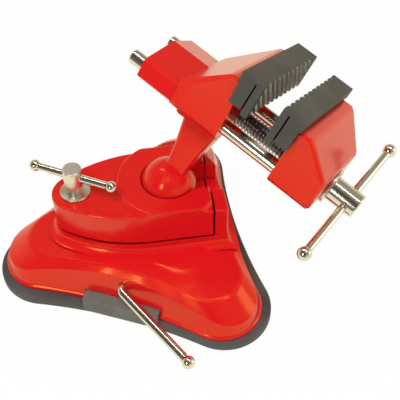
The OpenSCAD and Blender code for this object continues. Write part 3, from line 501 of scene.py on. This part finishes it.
# three-lobed base: sizes as in the solids; each skin ring is (lobe reach, lobe radius, height at the waist, drop)
# and each step of the turret's top is (inset, height)
lobedBase = {
    "waistReach": 350, "lobeSteps": 40, "waistSteps": 26, "turn": -2,
    "skin": [(61.6, 22.8, 6.4, 0), (61.6, 22.8, 8.5, 0), (61.7, 21.7, 9.3, 0.1), (64.7, 17.3, 28.5, 13.1),
             (51.9, 18.0, 28.95, 4.3), (50.4, 17.4, 29.6, 3.9), (31.6, 16.2, 29.95, 1.5), (19.6, 19.8, 30, 0)],
    "ease": [0.7, 1.4, 0.9, 0.35, 0.45, 3.0],
    "hollow": [(61.6, 19.2, 5.4, 0), (61.6, 19.2, 9.0, 0), (61.6, 12.8, 21.4, 9.4), (47.6, 13.2, 25.8, 4.5),
               (21.6, 19.2, 26.4, 0)],
    "blend": 5, "blendFoot": 25.0, "blendFrom": 29, "blendRise": 4.6, "grow": 0.2,
    "turretTop": [(0, 35.3), (0.1, 35.52), (0.3, 35.6)], "gapFall": 1.0, "fallFrom": 33.6, "fallReach": 45,
    "postFrom": 33.4, "columnRadius": 8, "bearingRadius": 5.5, "seatRadius": 12.7, "screwHole": 4.05,
    "shaftHole": 2.6, "ribGroove": 2.05, "ribSpans": ((-21.8, -9.8), (9.8, 16.8)),
    "rearBearing": ((-5.5, 6.7, 16.5), (5.5, 12.7, 27.4)), "tabRoom": ((-22.3, -90, -1), (22.3, -42.6, 12.8)),
    "camRoom": ((-12, -6.5, 10.4), (12, 6.5, 32.4)),
}


def lobedRing(look, reach, radius, waistZ, drop):
    sideways, along = look["waistReach"] * math.sin(math.pi / 3), look["waistReach"] * 0.5 - reach
    lobeHalf = math.degrees(math.atan2(sideways, along))
    waistHalf = math.degrees(math.atan2(reach * math.sin(math.pi / 3), look["waistReach"] - reach * 0.5))
    waistRadius = math.hypot(along, sideways) - radius
    low, high = look["waistReach"] - waistRadius, reach + radius
    flat = []
    for k in range(3):
        lobe, waist = polar(reach, 120 * k - 30), polar(look["waistReach"], 120 * k + 30)
        flat += [polar(radius, 120 * k - 30 + lobeHalf * (2 * i / look["lobeSteps"] - 1), lobe)
                 for i in range(look["lobeSteps"] + 1)]
        flat += [polar(waistRadius, 120 * k + 210 + waistHalf * (1 - 2 * i / look["waistSteps"]), waist)
                 for i in range(1, look["waistSteps"])]
    return [(x, y, waistZ - drop * (math.hypot(x, y) - low) / (high - low)) for x, y in flat]


# the clamp plate's outline: square heel in front, rounded about the ball behind, drawn in to the screw
plateShape = {"halfWidth": 25, "endRadius": 13, "postOut": 41.2, "postIn": 34, "heel": 33, "under": 37, "top": 57,
              "collarTop": 60, "slotHalf": 9.1, "slotFloor": 45.9, "slotFlare": 0.8, "edge": 0.9, "lowEdge": 0.5,
              "rise": [(50, 0, 0), (50, 29.8, 0), (57, 29.7, 0), (59.9, 28.0, 0), (60, 0, 0)],
              "riseEase": [0, 0, 1.2], "boreRadius": 16.4, "gripRadius": 15.62,
              "boreMouth": [(58.9, 15.12), (59.6, 14.95), (60.02, 16.2)], "screwHole": 5.4,
              "trim": 0.04, "trimFrom": 48, "ribRadius": 2, "ribSpans": ((-21.5, -10.1), (10.1, 16.5))}


def plateOutline(look, grow, heel):
    halfWidth, endRadius = look["halfWidth"] + grow, look["endRadius"] + grow
    backRadius = look["postOut"] - place["ballAlong"] + grow
    backTurn = math.degrees(math.asin(halfWidth / backRadius))
    reach = place["clampReach"]
    flank = (reach ** 2 + halfWidth ** 2 - endRadius ** 2) / (2 * (halfWidth - endRadius))
    side = flank - halfWidth
    turn = math.degrees(math.atan2(reach, side))
    points = [(heel, -halfWidth)]
    for i in range(31):
        x, y = polar(backRadius, backTurn * i / 30, (place["ballAlong"], 0))
        points.append((min(heel, x), y))
    points += [polar(flank, 90 + turn * i / 20, (0, -side)) for i in range(21)]
    points += [polar(endRadius, 90 + turn + 2 * (90 - turn) * i / 30, (-reach, 0)) for i in range(1, 30)]
    points += [polar(flank, 270 - turn * i / 20, (0, side)) for i in range(20, -1, -1)]
    return points


def roundedSlab(outline, low, high, edge, lowEdge=None):
    # lofts an outline that takes an inset, with rounded edges above and below
    lowEdge = edge if lowEdge is None else lowEdge
    steps = 4
    rings = []
    for k in range(steps + 1):
        a = math.pi / 2 * k / steps
        rings.append([(x, y, low + lowEdge * (1 - math.sin(a))) for x, y in outline(lowEdge * (1 - math.cos(a)))])
    rings.reverse()
    if lowEdge == 0:
        rings = rings[:1]
    for k in range(steps + 1):
        a = math.pi / 2 * k / steps
        rings.append([(x, y, high - edge * (1 - math.sin(a))) for x, y in outline(edge * (1 - math.cos(a)))])
    return loft(bmesh.new(), rings)


def postOutline(look, inset):
    # post behind the heel: square in front, following the round back
    x0, x1, y0 = look["postIn"] + inset, look["postOut"] - inset, -look["halfWidth"] + inset
    radius, middle = look["postOut"] - place["ballAlong"] - inset, place["ballAlong"]
    last = math.degrees(math.acos((x0 - middle) / radius))
    points = [Vector((x0, y0)), Vector((x1, y0)), Vector((x1, y0 / 2))]
    points += [Vector(polar(radius, last * i / 16, (middle, 0))) for i in range(17)]
    return [tuple(p) for p in easedLoop(points, [0.6, 1.0] + [0] * 17 + [0.6])]


def foldSlot(look, x0, x1, top):
    # cutter for the slot that the stem folds into, flared at the top and at both ends
    flare = look["slotFlare"]

    def plan(grow):
        half = look["slotHalf"] + grow
        return [(x0, -half), (x0, half), (x1, half), (x1, -half)]

    levels = [(0, look["slotFloor"]), (0, top - flare)]
    levels += [(flare * (1 - math.cos(math.pi / 2 * k / 4)), top - flare + flare * math.sin(math.pi / 2 * k / 4))
               for k in range(1, 5)]
    levels += [(flare + 0.02, top + 4)]
    return loft(bmesh.new(), [[(x, y, z) for x, y in plan(grow)] for grow, z in levels])


def baseCasting(look, plate):
    skin = [lobedRing(look, *ring) for ring in eased(look["skin"], look["ease"])]
    bm = put(loft(bmesh.new(), skin), turned("Z", look["turn"]))
    blend, grow = look["blend"], look["grow"]
    rings = [plateOutline(plate, blend - 1, plate["postOut"] + blend - 1)]
    levels = [look["blendFoot"]]
    for k in range(13):
        a = math.pi / 2 * k / 12
        rings.append(plateOutline(plate, grow + blend * (1 - math.sin(a)),
                                  plate["postOut"] + (blend + grow + 1) * (1 - math.sin(a))))
        levels.append(look["blendFrom"] + look["blendRise"] * (1 - math.cos(a)))
    for inset, level in look["turretTop"]:
        rings.append(plateOutline(plate, grow - inset, plate["postOut"] - inset))
        levels.append(level)

    def fallen(x, z):
        # the top falls towards the clamp screw, so that the gap under the plate opens there
        return z - look["gapFall"] * max(0, z - look["fallFrom"]) / 2 * min(1, max(0, -x / look["fallReach"]))

    turret = loft(bmesh.new(), [[(x, y, fallen(x, z)) for x, y in ring] for ring, z in zip(rings, levels)])
    put(turret, plateFrame)
    hollow = put(loft(bmesh.new(), [lobedRing(look, *ring) for ring in look["hollow"]]), turned("Z", look["turn"]))
    post = put(roundedSlab(lambda inset: postOutline(plate, inset), look["postFrom"], plate["top"], plate["edge"], 0),
               plateFrame)
    clampAxis = plateFrame @ moved(-place["clampReach"], 0, 0) @ upright
    column = put(drill(look["columnRadius"], 10.4, 34.9), clampAxis)
    bearing = put(drill(look["bearingRadius"], 30, 45), leverFrame)
    cuts = [block(*look["tabRoom"]),
            put(drill(look["seatRadius"], 34.6, 44.6, 96), ballFrame @ upright),
            put(foldSlot(plate, 12, 46, plate["top"]), plateFrame),
            put(drill(look["screwHole"], 5, 40), clampAxis)]
    cuts += [put(drill(look["ribGroove"], low, high, 40), plateFrame @ ribFrame) for low, high in look["ribSpans"]]
    shaft = put(drill(look["shaftHole"], -70, 16), moved(0, 0, place["shaftUp"]) @ turned("Z", 90))
    bm = carved(bm, [("UNION", turret), ("DIFFERENCE", hollow),
                     ("UNION", joined(post, [column, bearing, block(*look["rearBearing"])])),
                     ("DIFFERENCE", joined(cuts[0], cuts[1:])), ("DIFFERENCE", shaft),
                     ("DIFFERENCE", block(*look["camRoom"]))])
    addPiece("baseCastingSkin", bm, world, "base", redPaint, ["base_casting"], 32)


baseCasting(lobedBase, plateShape)


def turnedHole(radius, low, high):
    # round cutter with an eased mouth at its upper end
    mouth = eased([(high - 2, radius), (high - 0.02, radius), (high + 0.3, radius + 0.7)], [0.5], 4)
    return lathe(bmesh.new(), [(low, 0), (low, radius)] + [tuple(p) for p in mouth]
                 + [(high + 2, radius + 0.7), (high + 2, 0)], 64)


def clampPlate(look):
    bm = roundedSlab(lambda inset: plateOutline(look, -inset, look["heel"] - inset), look["under"], look["top"],
                     look["edge"], look["lowEdge"])
    rise = eased(look["rise"], look["riseEase"], 5)
    collar = put(lathe(bmesh.new(), [(p.x, p.y) for p in rise], 128), moved(place["ballAlong"], 0, 0) @ upright)
    cut = look["trim"]
    trim = roundedSlab(lambda inset: plateOutline(look, -cut - inset, look["heel"] - cut - inset), look["trimFrom"],
                       look["collarTop"], look["edge"], 0)
    collar = carved(collar, [("INTERSECT", trim)])
    wide, radius = look["boreRadius"], look["gripRadius"]
    grip = [(36, 0), (36, wide), (55, wide), (55, radius)]
    grip += [(55 + radius * math.sin(a), radius * math.cos(a)) for a in (0.06, 0.12, 0.18, 0.23)]
    grip += [tuple(p) for p in eased(look["boreMouth"], [0.9], 5)[1:]]
    grip += [(62, wide), (62, 0)]
    bore = put(lathe(bmesh.new(), grip, 128), moved(place["ballAlong"], 0, 0) @ upright)
    hole = put(turnedHole(look["screwHole"], 36, 57), moved(-place["clampReach"], 0, 0) @ upright)
    bm = carved(bm, [("UNION", collar), ("DIFFERENCE", bore),
                     ("DIFFERENCE", joined(foldSlot(look, 12, 46, look["top"]), [hole]))])
    ribs = [put(drill(look["ribRadius"], low, high, 40), ribFrame) for low, high in look["ribSpans"]]
    addPiece("clampPlateSkin", joined(bm, ribs), plateFrame, "plate", redPaint, ["clamp_plate"], 32)


clampPlate(plateShape)
print("base casting and clamp plate made")

suctionPad = {"rim": [(24.9, 0.0), (26.5, 0.15), (26.55, 5.3), (25.6, 6.4), (18.4, 6.4), (18.2, 3.6)],
              "ease": [1.2, 1.6, 1.0, 0.3], "tab": ((-22, -54.2, 1.5), (22, -46.6, 12.5))}


def rubberFoot(look):
    rings = [lobedRing(lobedBase, 61.6, p.x, p.y, 0) for p in eased(look["rim"], look["ease"], 4)]
    bm = loft(bmesh.new(), rings)
    tab = softened(block(*look["tab"]), 0.9, 28, 3)
    for face in tab.faces:
        face.material_index = 1
    foot = addPiece("suctionPadMoulded", joined(bm, [tab]), world, "base", padRubber,
                    ["suction_pad"], 50)
    foot.data.materials.append(tabRubber)


rubberFoot(suctionPad)

castAngle = 16  # edges of the head's castings that are sharper than this are rounded
fixedCasting = {"edge": 0.7}


def fixedBody(look):
    addPiece("fixed_bodyFinished", softened(nodeCopy("fixed_body"), look["edge"], castAngle, 3), world, "head",
             redPaint, ["fixed_body"], castAngle)


fixedBody(fixedCasting)

# the moving jaw's outer side as (height, reach, half width), from its foot to its top
jawCasting = {"cornerRadius": 3.4, "edge": 0.8, "clear": 0.02, "inside": 38, "lip": 48.2, "lipHalf": 36,
              "outer": [(-8, 69.7, 25.5), (-6.5, 69.7, 25.5), (-4.9, 71.3, 25.5), (-4, 71.3, 25.5),
                        (10.5, 71.3, 26.9), (11.5, 70.8, 27), (12.1, 70.5, 27.2), (26.6, 56.77, 32),
                        (27.3, 56.1, 32), (28.1, 54.7, 32), (34, 54.7, 32)]}
jawPad = {"edge": 0.3, "ridgeHalf": 32.8, "ridgeDepth": 0.8, "facing": (0.25, 0.97), "slant": 0.2}


def movingJaw(look):
    # the corners between the outer face and the sides are cast with a wide radius
    radius = look["cornerRadius"]
    rings = []
    for z, x, y in look["outer"]:
        x, y = x + look["clear"], y + look["clear"]
        points = [(look["inside"], -look["lipHalf"]), (look["lip"], -look["lipHalf"]), (look["lip"], -y)]
        points += [polar(radius, -90 + 10 * k, (x - radius, radius - y)) for k in range(10)]
        points += [(px, -py) for px, py in reversed(points)]
        rings.append([(px, py, z) for px, py in points])
    bm = carved(put(nodeCopy("moving_jaw"), screwFrame.inverted()), [("INTERSECT", loft(bmesh.new(), rings))])
    addPiece("movingJawCast", softened(bm, look["edge"], castAngle, 3), screwFrame, "jaw", redPaint,
             ["moving_jaw"], castAngle)


def ridgedPad(look, node, body, side):
    # painted highlight: the ridge flanks that face the given way take a pale rubber, in place of the light they catch
    bm = put(softened(nodeCopy(node), look["edge"]), screwFrame.inverted())
    bmesh.ops.recalc_face_normals(bm, faces=bm.faces)
    face = max(side * v.co.x for v in bm.verts)
    low, high = look["facing"]
    for facet in bm.faces:
        here, towards = facet.calc_center_median(), facet.normal
        onRidge = side * here.x > face - look["ridgeDepth"] and abs(here.y) < look["ridgeHalf"]
        if onRidge and low < side * towards.x < high and abs(towards.y) > look["slant"]:
            facet.material_index = 1
    piece = addPiece(node + "Ridged", bm, screwFrame, body, jawRubber, [node])
    piece.data.materials.append(ridgeHighlightRubber)


movingJaw(jawCasting)
ridgedPad(jawPad, "fixed_jaw_pad", "head", 1)
ridgedPad(jawPad, "moving_jaw_pad", "jaw", -1)
print("rubber foot, jaws and jaw pads made")

crossBar = {"radius": 2.2, "ballRadius": 3.7, "halfLength": 39, "neck": 1.9}
clampBar = {"radius": 2.1, "ballRadius": 3.2, "halfLength": 22.5, "neck": 1.8}
ballDepth = 0.84  # a bar ends this share of the radius before the middle of its ball


def barWithEnds(look, where, body, barNode, endNode):
    reach = look["halfLength"] - look["ballRadius"] * ballDepth
    bm = lathe(bmesh.new(), [(-reach, 0), (-reach, look["radius"]), (reach, look["radius"]), (reach, 0)], 64)
    addPiece(barNode + "Turned", bm, where, body, nickel, [barNode])
    bm = bmesh.new()
    for side in (-1, 1):
        ball = ballProfile(side * look["halfLength"], look["ballRadius"], side, look["neck"])
        lathe(bm, [(side * reach, 0)] + ball, 64)
    addPiece(endNode + "Turned", bm, where, body, nickel, [endNode])


barWithEnds(crossBar, handleFrame, "handle", "handle_bar", "handle_bar_ends")
barWithEnds(clampBar, clampFrame @ moved(0, 0, place["clampBarUp"]), "clamp_handle", "clamp_bar", "clamp_bar_ends")


def threaded(bm, look):
    # helical thread swept round the core, from the tip towards the shank
    steps = 48
    rings = []
    for k in range(int((look["threadTo"] - look["tip"]) / look["pitch"]) * steps + 1):
        a, x = 2 * math.pi * k / steps, look["tip"] + look["pitch"] * k / steps
        rings.append([bm.verts.new((x + along * look["pitch"], r * math.cos(a), r * math.sin(a)))
                      for along, r in ((0.02, look["core"]), (0.42, look["radius"]), (0.58, look["radius"]),
                                       (0.98, look["core"]))])
    for a, b in zip(rings, rings[1:]):
        for k in range(3):
            bm.faces.new((a[k], a[k + 1], b[k + 1], b[k]))
    for end in (rings[0], rings[-1]):
        bm.faces.new(end)
    core, thick = look["core"] + 0.02, look["radius"] - 0.02
    lathe(bm, [(look["tip"], 0), (look["tip"], core - 0.5), (look["tip"] + 0.5, core),
               (look["threadTo"] + look["pitch"], core), (look["threadTo"] + look["pitch"] + 0.5, thick),
               (look["shankTo"], thick), (look["shankTo"], 0)], 64)
    return bm


def turnedScrew(look, name, where, body, node, material):
    head = carved(lathe(bmesh.new(), [tuple(p) for p in eased(look["head"], look["ease"], 5)], 96),
                  [("DIFFERENCE", put(drill(look["hole"], -20, 20), look["holeAt"]))])
    thread = threaded(bmesh.new(), look)
    for face in thread.faces:
        face.material_index = 1
    screw = addPiece(name, joined(head, [thread]), where, body, material, [node])
    screw.data.materials.append(threadSteel)


turnedScrew({"radius": 5, "core": 4.05, "pitch": 2.0, "tip": -35.7, "threadTo": 44.2, "shankTo": 73.2,
             "head": [(72.95, 0), (72.95, 6.6), (88.95, 6.6), (88.95, 0)], "ease": [0.5, 1.1], "hole": 2.25,
             "holeAt": moved(82.95, 0, 0) @ turned("X", place["barTurn"]) @ turned("Z", 90)},
            "mainScrewTurned", screwFrame, "screw", "main_screw", nickel)
turnedScrew({"radius": 4, "core": 3.35, "pitch": 1.25, "tip": -42.6, "threadTo": -24, "shankTo": 1.6,
             "head": [(1.2, 0), (1.2, 4.5), (2.7, 4.5), (7.4, 5.2), (18, 5.2), (18, 0)],
             "ease": [0.3, 1.0, 1.6, 0.8], "hole": 2.15,
             "holeAt": moved(place["clampBarUp"], 0, 0) @ turned("Y", 90)},
            "clampScrewTurned", clampFrame @ upright, "clamp_turner", "clamp_screw", satinNickel)

clampWasher = {"inner": 4.25, "outer": 8.3, "thick": 1.2, "edge": 0.35}
thrustWasher = {"inner": 5.2, "outer": 9.5, "thick": 1.6, "edge": 0.35}
addPiece("clampWasherTurned", turnedRing(**clampWasher), clampFrame @ upright, "clamp_foot", satinNickel,
         ["clamp_washer"])
addPiece("thrustWasherTurned", turnedRing(**thrustWasher), screwFrame @ moved(place["screwFace"], 0, 0), "jaw",
         satinNickel, ["thrust_washer"])

guideRod = {"radius": 3.9, "side": 19.4, "from": -45.1, "to": 67.9}


def guideRods(look):
    start, end, radius = look["from"], look["to"], look["radius"]
    profile = eased([(start, 0), (start, radius), (end, radius), (end, 0)], [1.4, 0.3], 6)
    rods = [put(lathe(bmesh.new(), [tuple(p) for p in profile], 72), moved(0, side * look["side"], 0))
            for side in (-1, 1)]
    addPiece("guideRodsTurned", joined(rods[0], rods[1:]), screwFrame, "jaw", nickel, ["guide_rods"])


guideRods(guideRod)

leverBar = {"radius": 2.5, "tail": -15, "bendAt": 46.6, "bendRadius": 4, "bend": 61, "arm": 51.5, "ballRadius": 3.6,
            "neck": 2.35}


def bentLever(look):
    # one round bar swept along shaft, bend and arm, and the ball on its end
    path = [(x, 0) for x in (look["tail"], look["tail"] + 0.4, 0, 20, 40, look["bendAt"])]
    middle = (look["bendAt"], look["bendRadius"])
    path += [polar(look["bendRadius"], -90 + look["bend"] * k / 16, middle) for k in range(1, 17)]
    bendX, bendY = path[-1]
    turn = math.radians(look["bend"])
    reach = look["arm"] - look["ballRadius"] * ballDepth
    path += [(bendX + math.cos(turn) * s, bendY + math.sin(turn) * s) for s in (reach / 2, reach)]
    rings = []
    for i, (x, y) in enumerate(path):
        ahead, behind = path[min(i + 1, len(path) - 1)], path[max(i - 1, 0)]
        a = math.atan2(ahead[1] - behind[1], ahead[0] - behind[0])
        r = look["radius"] - (0.4 if i == 0 else 0)
        rings.append([(x - r * math.cos(b) * math.sin(a), y + r * math.cos(b) * math.cos(a), r * math.sin(b))
                      for b in (2 * math.pi * k / 48 for k in range(48))])
    addPiece("leverRodBent", loft(bmesh.new(), rings), leverFrame, "lever", nickel, ["lever_rod"], 50)
    end = leverFrame @ moved(bendX, bendY, 0) @ turned("Z", look["bend"])
    ball = lathe(bmesh.new(), [(reach, 0)] + ballProfile(look["arm"], look["ballRadius"], 1, look["neck"]), 64)
    addPiece("leverBallTurned", ball, end, "lever", nickel, ["lever_ball"])


bentLever(leverBar)
print("turned pieces and lever made")

# nodes that stay as they are and only take a finish
for node, material in (("screw_nut", brassFinish), ("collar_washer", brassFinish), ("screw_collar", darkSteel),
                       ("rod_screws", darkSteel), ("ball_seat", darkSteel), ("eccentric_cam", darkSteel),
                       ("shaft_clip", darkSteel), ("lift_yoke", darkSteel), ("lift_plate", zincSteel),
                       ("cam_pin", zincSteel)):
    for holder in nodes[node].material_slots:
        holder.material = material
    if not nodes[node].material_slots:
        nodes[node].data.materials.append(material)


def softFloor():
    bm = bmesh.new()
    bmesh.ops.create_grid(bm, x_segments=2, y_segments=2, size=4.0)
    mesh = bpy.data.meshes.new("paleFloor")
    bm.to_mesh(mesh)
    bm.free()
    mat = bpy.data.materials.new("paleFloor")
    mat.use_nodes = True
    tree = mat.node_tree
    shader = tree.nodes["Principled BSDF"]
    shader.inputs["Base Color"].default_value = rgb(0.86, 0.86, 0.86)
    shader.inputs["Roughness"].default_value = 0.7
    shader.inputs["Specular IOR Level"].default_value = 0.1
    path = addNode(tree, "ShaderNodeLightPath")
    # in reflections the table is warm, and its front runs off into the room
    where = addNode(tree, "ShaderNodeNewGeometry").outputs["Position"]
    front = mapRange(tree, addNode(tree, "ShaderNodeSeparateXYZ", {0: where}).outputs[1], -0.30, -0.75)
    table = mixColour(tree, front, rgb(1, 0.97, 0.74), rgb(0.20, 0.17, 0.11))
    paper = mixColour(tree, path.outputs["Is Camera Ray"], table, rgb(1, 1, 1))
    glow = addNode(tree, "ShaderNodeEmission", {"Color": paper, "Strength": 1.0}).outputs[0]
    seen = mathNode(tree, "MAXIMUM", path.outputs["Is Camera Ray"], path.outputs["Is Glossy Ray"])
    share = mathNode(tree, "MULTIPLY", seen, 0.97)
    mixed = addNode(tree, "ShaderNodeMixShader", {0: share, 1: shader.outputs[0], 2: glow})
    tree.links.new(mixed.outputs[0], tree.nodes["Material Output"].inputs["Surface"])
    mesh.materials.append(mat)
    floor = bpy.data.objects.new("paleFloor", mesh)
    scene.collection.objects.link(floor)


def softWorld():
    # warm and bright at the horizon, dimmer overhead and at the front left, plain white for the camera
    back = bpy.data.worlds.new("studio")
    scene.world = back
    back.use_nodes = True
    tree = back.node_tree
    seen = addNode(tree, "ShaderNodeLightPath").outputs["Is Camera Ray"]
    where = addNode(tree, "ShaderNodeTexCoord").outputs["Generated"]
    height = addNode(tree, "ShaderNodeSeparateXYZ", {0: where}).outputs[2]
    fall = mapRange(tree, height, 0.15, 0.45, 0.9, 0.36)
    toDim = addNode(tree, "ShaderNodeVectorMath", {0: where, 1: (-0.30, -0.85, 0.44)}, operation="DOT_PRODUCT")
    dim = mapRange(tree, toDim.outputs["Value"], 0.50, 0.80, 1.0, 0.25)
    fall = mathNode(tree, "MULTIPLY", fall, dim)
    plain = addNode(tree, "ShaderNodeBackground", {"Color": rgb(1.0, 0.88, 0.66), "Strength": fall}).outputs[0]
    white = addNode(tree, "ShaderNodeBackground", {"Color": rgb(1, 1, 1), "Strength": 1.0}).outputs[0]
    mixed = addNode(tree, "ShaderNodeMixShader", {0: seen, 1: plain, 2: white})
    tree.links.new(mixed.outputs[0], tree.nodes["World Output"].inputs["Surface"])


def softBox(name, at, target, size, watts, tint, shows, lights):
    data = bpy.data.lights.new(name, "AREA")
    data.shape, data.size, data.size_y = "RECTANGLE", size[0], size[1]
    data.energy, data.color = watts, tint
    lamp = bpy.data.objects.new(name, data)
    scene.collection.objects.link(lamp)
    lamp.location = at
    lamp.visible_glossy, lamp.visible_diffuse = shows, lights
    lamp.rotation_euler = (Vector(target) - Vector(at)).to_track_quat("-Z", "Y").to_euler()


softFloor()
softWorld()
# name, place, aim, size, watts, tint, seen in reflections, lights the piece
for lamp in (("keyBox", (0.02, -0.5, 1.0), (0.02, 0, 0.05), (0.6, 0.5), 8.8, (1, 1, 1), False, True),
             ("frontBox", (-0.22, -0.85, 0.6), (0.02, 0, 0.06), (0.16, 0.34), 2.0, (1.0, 0.93, 0.82), True, False),
             ("leftBox", (-0.8, -0.4, 0.4), (0, 0, 0.06), (0.4, 0.5), 1.0, (1.0, 0.86, 0.68), False, True),
             ("rightBox", (0.88, 0.2, 0.35), (0.03, 0, 0.08), (0.3, 0.4), 1.0, (1.0, 0.90, 0.76), True, True),
             ("glintStrip", (0.05, 0.12, 1.0), (0.02, 0, 0.05), (1.3, 0.05), 2.6, (1, 1, 1), True, False)):
    softBox(*lamp)
scene.view_settings.view_transform = "Standard"
print("stage and lights set")
